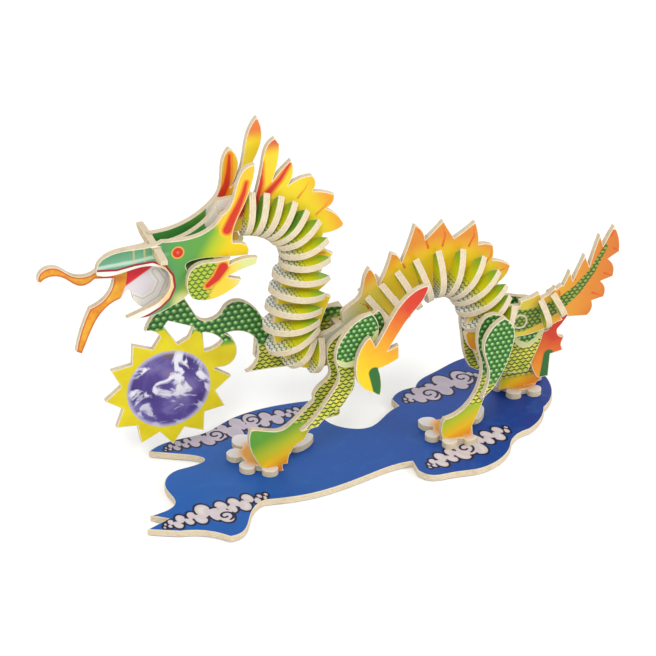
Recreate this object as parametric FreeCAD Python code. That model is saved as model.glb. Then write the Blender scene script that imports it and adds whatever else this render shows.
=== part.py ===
"""Slot-together wooden dragon: flat printed plywood plates pushed into each other on a cloud-shaped base.

Frame: X from the snout (-) to the tail (+), Y across the body, Z up.
The origin is on the underside of the base, in the plane of the spine.
Every plate is one sheet thick.  Plates that stand lengthwise lie parallel to XZ,
the ribs stand across the spine, and the feet and the base lie flat.
"""
import FreeCAD, Part
import math
import os

# Driving dimensions, in millimetres
SHEET = 3.0                 # plywood thickness
PLAY = 0.1                  # clearance on each side of a slot
BAR_HEIGHT = 6.0            # height of the bars that tie the lengthwise plates together
TENON = 8.0                 # length of the tenon under each foot
SPINE_HALF_HEIGHT = 8.0     # half the height of the plain band of the spine
RIB_CHORD = 24.0            # length of the spine chord that a rib stands square to
KNOB_RADIUS = 3.2           # jigsaw knob that joins two plates end to end
KNOB_ROOT = 0.6             # how far the knob's round sinks back into its own plate
SLOT_OVERRUN = 8.0          # how far the cut of a rib slot runs out past the belly edge
ACROSS_ALL = (-60.0, 60.0)  # a range across the body that passes through every plate
SUN_TIP_RADIUS = 29.0
SUN_VALLEY_RADIUS = 22.0
SUN_POINTS = 12
BROW_BAR_SPAN = 40.0
BROW_BAR_HEIGHT = 4.0
BROW_BAR_TAPER = 6.0        # length of the thinner stretch at each end of the brow bar

BASE_TOP = SHEET
PAW_TOP = BASE_TOP + SHEET

# Middle planes of the lengthwise plates (Y), minus is the near side
HEAD_SIDE_Y = 7.0
FRILL_Y = HEAD_SIDE_Y + SHEET + PLAY
NEAR_FORELEG_Y = -8.0
NEAR_FORELEG_COVER_Y = -16.5
NEAR_FORELEG_CAP_Y = NEAR_FORELEG_COVER_Y - SHEET - PLAY
NEAR_FORELEG_FLAME_Y = NEAR_FORELEG_CAP_Y - SHEET - PLAY
NEAR_HINDLEG_Y = -12.0
NEAR_HINDLEG_COVER_Y = -20.5
FAR_HINDLEG_Y = 20.5
FAR_HINDLEG_COVER_Y = 12.8
FAR_HINDLEG_CAP_Y = FAR_HINDLEG_COVER_Y - SHEET - PLAY
FAR_HINDLEG_FLAME_Y = FAR_HINDLEG_Y - SHEET - PLAY
ARM_Y = 12.8
ARM_COVER_Y = ARM_Y + SHEET + PLAY

# Centre line of the spine (X, Z), from the back of the head to the tail
SPINE_LINE = [(-66, 129), (-56, 129.5), (-46, 128), (-37, 123.5), (-30.5, 116), (-27.5, 107),
              (-28, 98), (-30, 89), (-32, 80), (-33, 70), (-30, 61), (-22, 56.5), (-12, 58),
              (-3, 63), (6, 70), (15, 77), (25, 83.5), (36, 87), (46, 85.5), (54, 79),
              (59, 70), (62.5, 61.5), (70, 56), (80, 54), (90, 56), (99, 60), (107, 66),
              (114, 74.5), (120, 86)]
NECK_START = 1.5            # where the head meets the neck plate, along the centre line
NECK_END = 112.0            # where the neck plate meets the back plate
BACK_END = 229.0            # where the back plate meets the tail plate
TAIL_BAND_END = 259.0

# Bars that pass across the body: X and Z of their middles
FRONT_BAR = (-8.0, 62.0)
REAR_BAR = (59.5, 50.0)
BROW_BAR = (-93.5, 121.0)
CHEEK_BAR = (-76.0, 106.0)

# Where the tenon under each standing foot begins (X)
NEAR_FORELEG_TENON = -48.0
NEAR_HINDLEG_TENON = 39.0
FAR_HINDLEG_TENON = 84.0

spine_curve = Part.BSplineCurve()
spine_curve.interpolate([FreeCAD.Vector(x, 0, z) for x, z in SPINE_LINE])


def outline(stretches):
    """A closed wire from stretches that each start at a corner and end at the next corner.

    A stretch of one point is a straight edge, and a longer one is a smooth curve.
    """
    edges = []
    for index, stretch in enumerate(stretches):
        following = stretches[(index + 1) % len(stretches)][0]
        points = [FreeCAD.Vector(*p) for p in stretch + [following]]
        if len(points) == 2:
            edges.append(Part.LineSegment(points[0], points[1]).toShape())
        else:
            curve = Part.BSplineCurve()
            curve.interpolate(points)
            edges.append(curve.toShape())
    return Part.Wire(edges)


def standing_plate(stretches, middle):
    """A lengthwise plate: an outline in (X, Z), one sheet thick about Y = middle."""
    start = middle - SHEET / 2
    placed = [[(x, start, z) for x, z in stretch] for stretch in stretches]
    return Part.Face(outline(placed)).extrude(FreeCAD.Vector(0, SHEET, 0))


def lying_plate(stretches, bottom):
    """A flat plate: an outline in (X, Y), one sheet thick above Z = bottom."""
    placed = [[(x, y, bottom) for x, y in stretch] for stretch in stretches]
    return Part.Face(outline(placed)).extrude(FreeCAD.Vector(0, 0, SHEET))


def block(x_range, y_range, z_range):
    corner = FreeCAD.Vector(x_range[0], y_range[0], z_range[0])
    sides = [r[1] - r[0] for r in (x_range, y_range, z_range)]
    return Part.makeBox(*sides, corner)


def bar(place, y_range, height=BAR_HEIGHT, play=0.0):
    """A bar across the body, one sheet thick along X; with play it is the hole for the bar."""
    x, z = place
    half_thick = SHEET / 2 + play
    half_high = height / 2 + play
    return block((x - half_thick, x + half_thick), y_range, (z - half_high, z + half_high))


def with_bar_hole(plate, place, height=BAR_HEIGHT):
    return plate.cut(bar(place, ACROSS_ALL, height, PLAY))


def spine_frame(distance):
    """Point, direction towards the tail, and direction towards the back, at a distance along the spine."""
    parameter = spine_curve.parameterAtDistance(distance, spine_curve.FirstParameter)
    point = spine_curve.value(parameter)
    along = FreeCAD.Vector(*spine_curve.tangent(parameter)[0])
    along.normalize()
    return point, along, FreeCAD.Vector(-along.z, 0, along.x)


def rib_frame(distance):
    """The point of a rib on the centre line, and how far it is turned, in degrees.

    A rib stands square to the chord of the spine about it, so that ribs fan out evenly round a tight bend.
    """
    before = spine_frame(distance - RIB_CHORD / 2)[0]
    after = spine_frame(distance + RIB_CHORD / 2)[0]
    chord = after - before
    return spine_frame(distance)[0], math.degrees(math.atan2(chord.z, chord.x))


def spine_band(start, end):
    """The plain band of a spine plate between two distances along the centre line."""
    steps = 12
    stations = [start + (end - start) * i / steps for i in range(steps + 1)]
    frames = [spine_frame(s) for s in stations]
    dorsal = [point + back * SPINE_HALF_HEIGHT for point, along, back in frames]
    ventral = [point - back * SPINE_HALF_HEIGHT for point, along, back in reversed(frames)]
    edges = []
    for side in (dorsal, ventral):
        curve = Part.BSplineCurve()
        curve.interpolate(side)
        edges.append(curve.toShape())
    edges.insert(1, Part.LineSegment(dorsal[-1], ventral[0]).toShape())
    edges.append(Part.LineSegment(ventral[-1], dorsal[0]).toShape())
    band = Part.Face(Part.Wire(edges)).extrude(FreeCAD.Vector(0, SHEET, 0))
    band.translate(FreeCAD.Vector(0, -SHEET / 2, 0))
    return band


def spine_knob(distance, play=0.0):
    """The jigsaw knob that reaches over the joint at this distance into the following plate."""
    point, along = spine_frame(distance)[:2]
    start = point + along * (KNOB_RADIUS - KNOB_ROOT) - FreeCAD.Vector(0, SHEET / 2 + play, 0)
    return Part.makeCylinder(KNOB_RADIUS + play, SHEET + 2 * play, start, FreeCAD.Vector(0, 1, 0))


def rib_slots(plate, ribs):
    """Cut the slots that open on the belly side and take the ribs."""
    depth = SPINE_HALF_HEIGHT + SLOT_OVERRUN
    half_wide = SHEET / 2 + PLAY
    for size in ribs:
        point, turn = rib_frame(size[0])
        slot = Part.makeBox(2 * half_wide, 2 * SHEET, depth, FreeCAD.Vector(-half_wide, -SHEET, -depth + PLAY))
        slot.rotate(FreeCAD.Vector(0, 0, 0), FreeCAD.Vector(0, -1, 0), turn)
        slot.translate(point)
        plate = plate.cut(slot)
    return plate


def rib(distance, half_width, belly, ear):
    """A rib across the spine: round belly, widest near the centre line, two ears beside the crest."""
    half_slot = SHEET / 2 + PLAY
    flank = (0.72 * half_width, -0.66 * belly)
    widest = (half_width, -0.02 * belly)
    shoulder = (0.80 * half_width, 0.60 * ear)
    ear_tip = (0.47 * half_width, ear)
    inner_ear = (half_slot, 0.74 * ear)
    slot_end = (half_slot, 0.0)
    right = [[(0.0, -belly), flank, widest, shoulder], [ear_tip], [inner_ear], [slot_end]]
    left = [[(-slot_end[0], slot_end[1])], [(-inner_ear[0], inner_ear[1])],
            [(-y, z) for y, z in (ear_tip, shoulder, widest, flank)]]
    placed = [[(-SHEET / 2, y, z) for y, z in stretch] for stretch in right + left]
    shape = Part.Face(outline(placed)).extrude(FreeCAD.Vector(SHEET, 0, 0))
    point, turn = rib_frame(distance)
    shape.rotate(FreeCAD.Vector(0, 0, 0), FreeCAD.Vector(0, -1, 0), turn)
    shape.translate(point)
    return shape


def rib_row(count, first, spacing, half_width, belly, ear):
    """Equal ribs: distance along the spine, half width, reach towards the belly, reach towards the back."""
    return [(first + spacing * i, half_width, belly, ear) for i in range(count)]


neck_ribs = [(14.2 + 5.1 * i, 8.5 + 0.4 * i, 10.5, 11.0) for i in range(5)]
neck_ribs += rib_row(3, 40.0, 7.0, 10.5, 9.8, 12.0)
neck_ribs += rib_row(5, 61.0, 7.8, 10.9, 12.2, 12.5)
chest_ribs = rib_row(2, 99.2, 7.8, 10.6, 10.0, 9.0)
hump_ribs = rib_row(10, 142.0, 7.8, 10.2, 13.8, 12.0)
hump_ribs.append((223.0, 8.5, 9.0, 9.0))
tail_ribs = [(243.5, 7.0, 8.5, 9.0), (251.5, 5.5, 7.5, 8.0)]


def neck_crest():
    return standing_plate([
        [(-50, 130), (-47, 141), (-45, 150), (-42.5, 159)],
        [(-39, 162)],
        [(-37, 159), (-38, 150)],
        [(-40.5, 142.5)],
        [(-36.5, 147)],
        [(-32, 151), (-31, 147)],
        [(-33.5, 139.5), (-28, 142)],
        [(-22.5, 142.5), (-21, 139)],
        [(-22.5, 135), (-17, 134)],
        [(-12.5, 132), (-13, 129)],
        [(-16.5, 126), (-11, 122)],
        [(-8, 117), (-12, 115)],
        [(-17.5, 114.5), (-18, 109)],
        [(-13, 104), (-16, 101)],
        [(-19.5, 99), (-19, 95)],
        [(-14, 91.5), (-17, 89)],
        [(-21, 86)],
        [(-14, 83), (-17, 76)],
        [(-20, 66)],
        [(-30, 74), (-26, 90), (-24, 104), (-29, 118)],
    ], 0)


def neck_spine():
    plate = spine_band(NECK_START, NECK_END).fuse(neck_crest()).fuse(spine_knob(NECK_END))
    plate = plate.cut(spine_knob(NECK_START, PLAY))
    plate = rib_slots(plate, neck_ribs + chest_ribs)
    return plate.removeSplitter()


def back_crest():
    return standing_plate([
        [(-6, 62), (-8.5, 69)],
        [(-9, 74), (-5, 77), (-1, 80), (1, 87)],
        [(4, 94), (6.5, 90)],
        [(8, 84), (11, 90)],
        [(14, 99.5), (17, 98)],
        [(19, 94), (22, 102)],
        [(25, 111.5), (28, 109)],
        [(30, 103.5), (34, 107)],
        [(38.5, 111.5), (41, 107)],
        [(44, 102), (49, 105)],
        [(54, 108.5), (55.5, 103)],
        [(56, 97), (59, 97)],
        [(63, 95.5), (63.5, 92)],
        [(63, 88), (67, 87)],
        [(72, 84), (70.5, 80)],
        [(66, 76)],
        [(57, 74)],
        [(50, 84), (38, 88), (22, 82), (8, 70)],
    ], 0)


def back_spine():
    hip = standing_plate([[(53, 62), (51, 52)], [(54, 44), (60, 42)], [(67, 46), (69, 54)], [(66, 62)]], 0)
    plate = spine_band(NECK_END, BACK_END).fuse(back_crest()).fuse(hip).fuse(spine_knob(BACK_END))
    plate = plate.cut(spine_knob(NECK_END, PLAY))
    plate = rib_slots(plate, hump_ribs)
    plate = with_bar_hole(plate, REAR_BAR)
    return with_bar_hole(plate, FRONT_BAR).removeSplitter()


def tail_spine():
    feathers = standing_plate([
        [(77.5, 52), (78, 60)],
        [(78, 64.5), (82, 65)],
        [(87.5, 67)],
        [(89, 62.5), (92, 65)],
        [(95.5, 69)],
        [(97, 64.5), (99.5, 69)],
        [(102.5, 76)],
        [(104, 70.5), (106.5, 76)],
        [(109.5, 83)],
        [(112, 76.5), (114, 84)],
        [(116.5, 92)],
        [(118.5, 86), (121, 91)],
        [(123.5, 95.5), (126, 90)],
        [(127, 82)],
        [(121.5, 79), (124.5, 75)],
        [(124.5, 69.5)],
        [(118.5, 68), (121, 64)],
        [(120.5, 59.5)],
        [(114.5, 58.5), (115, 55)],
        [(112.5, 51)],
        [(104, 52), (95, 50), (86, 50)],
    ], 0)
    plate = spine_band(BACK_END, TAIL_BAND_END).fuse(feathers)
    plate = plate.cut(spine_knob(BACK_END, PLAY))
    return rib_slots(plate, tail_ribs).removeSplitter()


def head_centre():
    frame = spine_frame(NECK_START)
    neck_top = frame[0] + frame[2] * SPINE_HALF_HEIGHT
    neck_bottom = frame[0] - frame[2] * SPINE_HALF_HEIGHT
    plate = standing_plate([
        [(-118, 113.5), (-123, 111.5), (-128, 112.5), (-134, 117)],
        [(-140, 117.5), (-143, 114)],
        [(-142.5, 110.5), (-138, 113.5), (-133, 112.5), (-128, 108.5)],
        [(-119, 109.5)],
        [(-111, 108.5), (-114, 101)],
        [(-122, 96), (-126, 87)],
        [(-129, 76.5)],
        [(-126.5, 75), (-122, 85), (-117, 93)],
        [(-108, 98.5), (-105, 102)],
        [(-103, 97), (-98, 92)],
        [(-84, 95), (-74, 99), (-68, 108)],
        [(neck_bottom.x, neck_bottom.z)],
        [(neck_top.x, neck_top.z), (-68, 131), (-74, 126), (-82, 122.5)],
        [(-96, 122), (-106, 121), (-114, 119)],
    ], 0)
    plate = plate.fuse(spine_knob(NECK_START))
    plate = with_bar_hole(plate, CHEEK_BAR)
    return with_bar_hole(plate, BROW_BAR, BROW_BAR_HEIGHT).removeSplitter()


def mouth_edge():
    """The open mouth of a side plate, from the lip of the upper jaw round to the tip of the lower jaw."""
    return [[(-119.5, 114.5), (-111, 113.5), (-103, 115)],
            [(-93, 114), (-88.8, 110), (-88.5, 104), (-92, 99)],
            [(-99, 95.5)],
            [(-108, 92.5), (-98, 91.5)]]


def cheek_edge():
    """The lower jaw, the cheek and the pointed frill behind it."""
    return [[(-88, 95), (-81, 99), (-78, 105), (-81, 111)],
            [(-72, 115), (-63, 114)],
            [(-54, 113.5), (-53.5, 116)]]


def head_near():
    plate = standing_plate(mouth_edge() + cheek_edge() + [
        [(-60.5, 120), (-59.5, 128), (-55.6, 136), (-52.5, 143)],
        [(-50, 154.5), (-54.5, 153), (-59, 143)],
        [(-65, 133.5), (-72, 127), (-80, 125)],
        [(-91, 125.5), (-97, 124), (-106, 124)],
        [(-117, 121.5), (-119.5, 118)],
    ], -HEAD_SIDE_Y)
    plate = with_bar_hole(plate, CHEEK_BAR)
    return with_bar_hole(plate, BROW_BAR, BROW_BAR_HEIGHT)


def head_far():
    plate = standing_plate(cheek_edge() + [
        [(-60.5, 120), (-60, 128), (-54, 137), (-48, 147), (-43, 158)],
        [(-44.5, 169.5), (-49, 162), (-51, 152)],
        [(-57, 139), (-54, 145), (-53.5, 152)],
        [(-57, 157), (-60, 152), (-61, 144)],
        [(-65, 134), (-73, 128), (-82, 124.5)],
        [(-93.5, 123.5), (-94, 112), (-92, 101)],
    ], HEAD_SIDE_Y)
    plate = with_bar_hole(plate, CHEEK_BAR)
    return with_bar_hole(plate, BROW_BAR, BROW_BAR_HEIGHT)


def cheek_frill(middle):
    return standing_plate([
        [(-80.5, 111), (-76, 114), (-69, 114)],
        [(-62.5, 115)],
        [(-63.5, 111.5), (-57, 113.5)],
        [(-50.5, 113)],
        [(-51.5, 110), (-58, 108.5)],
        [(-64.5, 106)],
        [(-58, 104)],
        [(-59.5, 101.5), (-65, 98.5), (-73, 96.5)],
        [(-80, 98.5), (-82, 104)],
    ], middle)


def brow_bar():
    x, z = BROW_BAR
    half = BROW_BAR_SPAN / 2
    low = z - BROW_BAR_HEIGHT / 2
    high = z + BROW_BAR_HEIGHT / 2
    shoulder = half - BROW_BAR_TAPER
    low_end = low + 0.375 * BROW_BAR_HEIGHT
    high_end = high - 0.125 * BROW_BAR_HEIGHT
    side = [(-half, low_end), (-shoulder, low), (shoulder, low), (half, low_end),
            (half, high_end), (shoulder, high), (-shoulder, high), (-half, high_end)]
    placed = [[(x - SHEET / 2, y, height)] for y, height in side]
    return Part.Face(outline(placed)).extrude(FreeCAD.Vector(SHEET, 0, 0))


def sun(middle):
    """A pointed sun: a ring of equal points about its middle."""
    centre_x, centre_z = -86.0, 43.0
    half_step = math.pi / SUN_POINTS
    first_tip = math.radians(2)
    stretches = []
    for i in range(2 * SUN_POINTS):
        radius = SUN_VALLEY_RADIUS if i % 2 else SUN_TIP_RADIUS
        angle = first_tip + i * half_step
        stretches.append([(centre_x + radius * math.cos(angle), centre_z + radius * math.sin(angle))])
    return standing_plate(stretches, middle)


def sun_arm():
    """The raised far foreleg: thigh, forearm and hand, whose three claws hold the sun, all in one plate."""
    arm = standing_plate([
        [(-95.5, 73.5), (-92, 80), (-87.5, 84)],
        [(-77, 86.5)],
        [(-72, 77), (-66, 74), (-61.5, 76), (-59, 79.5), (-54.5, 81.5), (-48, 79)],
        [(-42, 71), (-34, 66), (-22, 68)],
        [(-4, 70)],
        [(-2, 56), (-14, 48)],
        [(-30, 44), (-40, 44.5)],
        [(-50, 44.5), (-45.5, 48), (-44, 55), (-46, 62), (-52, 66)],
        [(-59.5, 66), (-54.5, 60), (-54.5, 54)],
        [(-60, 49.5)],
        [(-72, 50)],
        [(-84, 60)],
        [(-92, 64), (-89, 70), (-91, 72.5)],
    ], ARM_Y)
    left_gap = standing_plate([[(-85, 77)], [(-73.5, 72)], [(-76, 67)], [(-81, 64.5)], [(-87, 74.5)]], ARM_Y)
    right_gap = standing_plate([[(-69.5, 68.5), (-65, 67)], [(-60.5, 62.5), (-64, 60)], [(-69, 59)]], ARM_Y)
    plate = arm.fuse(sun(ARM_Y)).cut(left_gap).cut(right_gap)
    return with_bar_hole(plate.removeSplitter(), FRONT_BAR)


def arm_cover():
    plate = standing_plate([
        [(-44, 62), (-36, 64), (-22, 67)],
        [(-4, 70)],
        [(-2, 56), (-14, 48)],
        [(-30, 45), (-40, 46)],
        [(-45, 50)],
    ], ARM_COVER_Y)
    return with_bar_hole(plate, FRONT_BAR)


def foot_tenon(first_x, middle):
    half = SHEET / 2
    return block((first_x, first_x + TENON), (middle - half, middle + half), (0, PAW_TOP + 1))


def near_foreleg():
    plate = standing_plate([
        [(2, 75), (-3, 74.5), (-10, 70), (-18, 63), (-18.5, 55), (-17.5, 48), (-22.5, 43)],
        [(-25, 36), (-34, 28), (-41, 24), (-47, 25)],
        [(-54.5, 27), (-55.5, 20), (-54, 14)],
        [(-50, PAW_TOP)],
        [(-37.5, PAW_TOP), (-36, 12)],
        [(-29.5, 17), (-27, 21.5)],
        [(-19, 26)],
        [(-13, 26.5), (-12.5, 29)],
        [(-16, 33)],
        [(-8, 36), (-5.5, 43), (-5.5, 50), (0, 58), (5, 66)],
    ], NEAR_FORELEG_Y)
    plate = plate.fuse(foot_tenon(NEAR_FORELEG_TENON, NEAR_FORELEG_Y))
    return with_bar_hole(plate.removeSplitter(), FRONT_BAR)


def near_foreleg_cover():
    plate = standing_plate([
        [(2, 82), (-5, 76.5), (-17, 65), (-17.5, 58), (-16, 51), (-18, 46), (-22, 40), (-28, 32)],
        [(-34, 27)],
        [(-26, 28), (-22, 32)],
        [(-16, 35), (-11, 42), (-9, 48), (-8, 55), (0, 62), (5, 72)],
    ], NEAR_FORELEG_COVER_Y)
    return with_bar_hole(plate, FRONT_BAR)


def near_foreleg_cap():
    return standing_plate([
        [(-2, 82), (-11, 78), (-16, 72), (-18.5, 66), (-18, 60)],
        [(-14, 57.5), (-8, 58.5), (-3, 63), (1, 72)],
    ], NEAR_FORELEG_CAP_Y)


def near_foreleg_flame():
    return standing_plate([
        [(23, 93), (19, 92.5), (12, 88), (6, 80)],
        [(-1.5, 67)],
        [(-4, 72.5), (-8.5, 67), (-10.5, 59), (-9.5, 51)],
        [(-5.5, 46)],
        [(1, 42), (1.5, 48)],
        [(0, 56), (4, 57)],
        [(9.5, 59.5)],
        [(9.5, 66)],
        [(4, 64), (8.5, 71), (14, 79), (20, 86)],
    ], NEAR_FORELEG_FLAME_Y)


def near_hindleg():
    plate = standing_plate([
        [(60, 67), (54, 64.5), (52, 58), (52.5, 50), (54.5, 42), (54, 34), (51, 26), (46, 20)],
        [(37, 16.5), (35.5, 12)],
        [(36.5, PAW_TOP)],
        [(50.5, PAW_TOP)],
        [(51, 11), (53.5, 16), (56, 23), (58, 28), (64, 36), (68, 47), (69, 58)],
    ], NEAR_HINDLEG_Y)
    plate = plate.fuse(foot_tenon(NEAR_HINDLEG_TENON, NEAR_HINDLEG_Y))
    return with_bar_hole(plate.removeSplitter(), REAR_BAR)


def near_hindleg_cover():
    return standing_plate([
        [(61, 69), (55, 65), (51.5, 58), (52.5, 50), (54.5, 42), (53.5, 35)],
        [(51, 29)],
        [(56, 33), (61, 41), (65, 52), (66, 62)],
    ], NEAR_HINDLEG_COVER_Y)


def far_hindleg():
    plate = standing_plate([
        [(60, 57), (57.5, 50), (58.5, 40), (60, 30)],
        [(63, 22), (70, 18)],
        [(80, 15), (79, 10)],
        [(79, PAW_TOP)],
        [(98, PAW_TOP), (101, 10)],
        [(98, 17), (101, 27), (103, 38), (99, 49)],
        [(88, 55), (72, 58)],
    ], FAR_HINDLEG_Y)
    plate = plate.fuse(foot_tenon(FAR_HINDLEG_TENON, FAR_HINDLEG_Y))
    return with_bar_hole(plate.removeSplitter(), REAR_BAR)


def far_hindleg_cover():
    plate = standing_plate([
        [(60, 57), (58, 48), (61, 36)],
        [(65, 25), (74, 21)],
        [(90, 18.5), (94, 29), (97, 40), (95, 49)],
        [(84, 54), (70, 57)],
    ], FAR_HINDLEG_COVER_Y)
    return with_bar_hole(plate, REAR_BAR)


def far_hindleg_cap():
    return standing_plate([
        [(78, 50), (78.5, 42)],
        [(82, 36), (87, 33.5), (92, 36)],
        [(96, 42), (97, 47)],
        [(93, 52), (86, 53)],
    ], FAR_HINDLEG_CAP_Y)


def far_hindleg_flame():
    return standing_plate([
        [(113, 45), (108, 44)],
        [(103, 44.5), (102.5, 40)],
        [(101.5, 36.5)],
        [(96, 35.5), (93.5, 28), (93.5, 20)],
        [(97.5, 11)],
        [(103, 11)],
        [(103.5, 23)],
        [(110.5, 24), (109, 27)],
        [(110.5, 31), (107, 33)],
        [(106.5, 36), (110, 40)],
    ], FAR_HINDLEG_FLAME_Y)


def paw(centre_x, centre_y, palm, claws):
    """A flat paw: rounded claws about a palm, each given by its direction in degrees, reach and half width."""
    stretches = []
    for angle, reach, half_width in claws:
        root_turn = math.degrees(0.8 * half_width / palm)
        shoulder = palm + 0.7 * (reach - palm)
        shoulder_turn = math.degrees(half_width / shoulder)
        stretch = []
        for turn, radius in ((-root_turn, palm), (-shoulder_turn, shoulder), (0, reach), (shoulder_turn, shoulder)):
            direction = math.radians(angle + turn)
            stretch.append((centre_x + radius * math.cos(direction), centre_y + radius * math.sin(direction)))
        direction = math.radians(angle + root_turn)
        stretches.append(stretch)
        stretches.append([(centre_x + palm * math.cos(direction), centre_y + palm * math.sin(direction))])
    return lying_plate(stretches, BASE_TOP)


def tenon_hole(first_x, middle):
    half = SHEET / 2 + PLAY
    return block((first_x - PLAY, first_x + TENON + PLAY), (middle - half, middle + half), (-1, PAW_TOP + 1))


TENON_HOLES = [
    tenon_hole(NEAR_FORELEG_TENON, NEAR_FORELEG_Y),
    tenon_hole(NEAR_HINDLEG_TENON, NEAR_HINDLEG_Y),
    tenon_hole(FAR_HINDLEG_TENON, FAR_HINDLEG_Y),
]


def with_tenon_holes(plate):
    for hole in TENON_HOLES:
        plate = plate.cut(hole)
    return plate


def base_plate():
    plate = lying_plate([
        [(-110, -35)],
        [(-97, -41), (-84, -46)],
        [(-78, -52), (-71, -50), (-66, -42), (-62, -35)],
        [(-55, -30), (-45, -31.5), (-35, -32), (-20, -30), (-5, -26), (8, -22.5)],
        [(18, -22)],
        [(17.5, -30), (23, -36.5), (32, -37), (44, -38), (56, -34)],
        [(66, -24), (72, -17)],
        [(80, -14), (90, -6)],
        [(95, 2), (102, 9), (107, 20), (108, 32), (103, 44), (92, 54)],
        [(78, 59), (69, 56), (59, 51), (49, 46)],
        [(44, 40), (36, 39)],
        [(29, 33)],
        [(30, 26), (20, 19.5), (9, 12.5), (-2, 17), (-7, 25), (-7, 36)],
        [(-9, 45), (-22, 46), (-37, 45), (-52, 40), (-64, 33.5), (-78, 32)],
        [(-93, 26)],
        [(-82, 20), (-71, 11)],
        [(-84, 7), (-92, 1), (-94, -6), (-93, -14)],
        [(-106, -25)],
        [(-99, -30)],
    ], 0)
    return with_tenon_holes(plate)


# The claws of each paw: direction in degrees, reach from the middle of the paw, half width
FOREPAW_CLAWS = [(18, 26, 4.2), (118, 21, 4.6), (163, 18.5, 3.6), (213, 17.5, 3.6), (258, 17, 3.4)]
HINDPAW_CLAWS = [(36, 24, 4.0), (140, 18, 3.6), (190, 16, 3.2), (236, 16, 3.2), (285, 14, 3.2)]
FAR_HINDPAW_CLAWS = [(12, 14, 3.0), (120, 13.5, 3.2), (184, 13.5, 3.2), (238, 15, 3.4), (290, 15, 3.4)]

nodes = {
    "base_plate": base_plate(),
    "neck_spine": neck_spine(),
    "back_spine": back_spine(),
    "tail_spine": tail_spine(),
    "head_centre": head_centre(),
    "head_near_side": head_near(),
    "head_far_side": head_far(),
    "near_cheek_frill": cheek_frill(-FRILL_Y),
    "far_cheek_frill": cheek_frill(FRILL_Y),
    "brow_bar": brow_bar(),
    "cheek_bar": bar(CHEEK_BAR, (-HEAD_SIDE_Y - SHEET / 2, HEAD_SIDE_Y + SHEET / 2)),
    "sun_arm": sun_arm(),
    "arm_cover": arm_cover(),
    "front_bar": bar(FRONT_BAR, (NEAR_FORELEG_COVER_Y - SHEET / 2, ARM_COVER_Y + SHEET / 2)),
    "rear_bar": bar(REAR_BAR, (NEAR_HINDLEG_COVER_Y + SHEET / 2, FAR_HINDLEG_Y + SHEET / 2)),
    "near_foreleg": near_foreleg(),
    "near_foreleg_cover": near_foreleg_cover(),
    "near_foreleg_cap": near_foreleg_cap(),
    "near_foreleg_flame": near_foreleg_flame(),
    "near_forepaw": with_tenon_holes(paw(-43.5, 3, 12, FOREPAW_CLAWS)),
    "near_hindleg": near_hindleg(),
    "near_hindleg_cover": near_hindleg_cover(),
    "near_hindpaw": with_tenon_holes(paw(46, -5, 10.5, HINDPAW_CLAWS)),
    "far_hindleg": far_hindleg(),
    "far_hindleg_cover": far_hindleg_cover(),
    "far_hindleg_cap": far_hindleg_cap(),
    "far_hindleg_flame": far_hindleg_flame(),
    "far_hindpaw": with_tenon_holes(paw(91.5, 26, 10, FAR_HINDPAW_CLAWS)),
}
for name, ribs in (("neck", neck_ribs), ("chest", chest_ribs), ("hump", hump_ribs), ("tail", tail_ribs)):
    for number, size in enumerate(ribs, 1):
        nodes["%s_rib_%02d" % (name, number)] = rib(*size)

os.makedirs("parts", exist_ok=True)
for node_name, shape in nodes.items():
    if not shape.isValid() or len(shape.Solids) != 1:
        print("CHECK", node_name, "valid", shape.isValid(), "solids", len(shape.Solids))
    shape.exportStep("parts/%s.step" % node_name)
print(len(nodes), "nodes")
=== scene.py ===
"""Looks of a slot-together plywood dragon: every plate with its print, its bare cut edge and its grain."""
import math

import bpy
import numpy as np
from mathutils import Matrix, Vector
from mathutils.geometry import delaunay_2d_cdt


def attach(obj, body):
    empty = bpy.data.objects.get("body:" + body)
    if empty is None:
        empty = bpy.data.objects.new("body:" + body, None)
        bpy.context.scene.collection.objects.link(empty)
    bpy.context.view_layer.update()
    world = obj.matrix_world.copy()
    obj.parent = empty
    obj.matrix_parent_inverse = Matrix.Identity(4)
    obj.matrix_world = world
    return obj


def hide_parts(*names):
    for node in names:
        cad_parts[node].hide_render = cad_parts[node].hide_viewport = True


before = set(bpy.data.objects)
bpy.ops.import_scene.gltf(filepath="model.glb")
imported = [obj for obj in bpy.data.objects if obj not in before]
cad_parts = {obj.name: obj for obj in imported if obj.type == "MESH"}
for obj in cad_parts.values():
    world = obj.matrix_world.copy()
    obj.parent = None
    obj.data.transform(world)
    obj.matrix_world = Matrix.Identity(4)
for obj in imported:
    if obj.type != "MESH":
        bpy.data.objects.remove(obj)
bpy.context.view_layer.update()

# Base plate
# A cloud-shaped 3 mm plywood sheet with a blue paper print, lilac clouds drawn over its four corners.
# The sheet is laser cut, so a thin bare margin and the three plies show all round it.
ACROSS_X = Vector((1, 0, 0))
ACROSS_Y = Vector((0, 1, 0))
UP = Vector((0, 0, 1))
MM = 0.001


def outline_loops(mesh, normal, level):
    """The closed outlines of the flat side that faces along normal, with the wood on their left."""
    numbers = {}
    corners = []
    open_edges = set()
    for face in mesh.polygons:
        if face.normal.dot(normal) < 0.999 or abs(normal.dot(face.center) - level) > 0.01 * MM:
            continue
        ids = []
        for vertex in face.vertices:
            point = mesh.vertices[vertex].co
            key = tuple(round(c / MM, 3) for c in point)
            if key not in numbers:
                numbers[key] = len(corners)
                corners.append(point.copy())
            ids.append(numbers[key])
        for start, end in zip(ids, ids[1:] + ids[:1]):
            if (end, start) in open_edges:
                open_edges.remove((end, start))
            else:
                open_edges.add((start, end))
    following = dict(sorted(open_edges))
    loops = []
    while following:
        start = min(following)
        loop = [start]
        step = following.pop(start)
        while step != start:
            loop.append(step)
            step = following.pop(step)
        loops.append([corners[i] for i in loop])
    return loops


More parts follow.
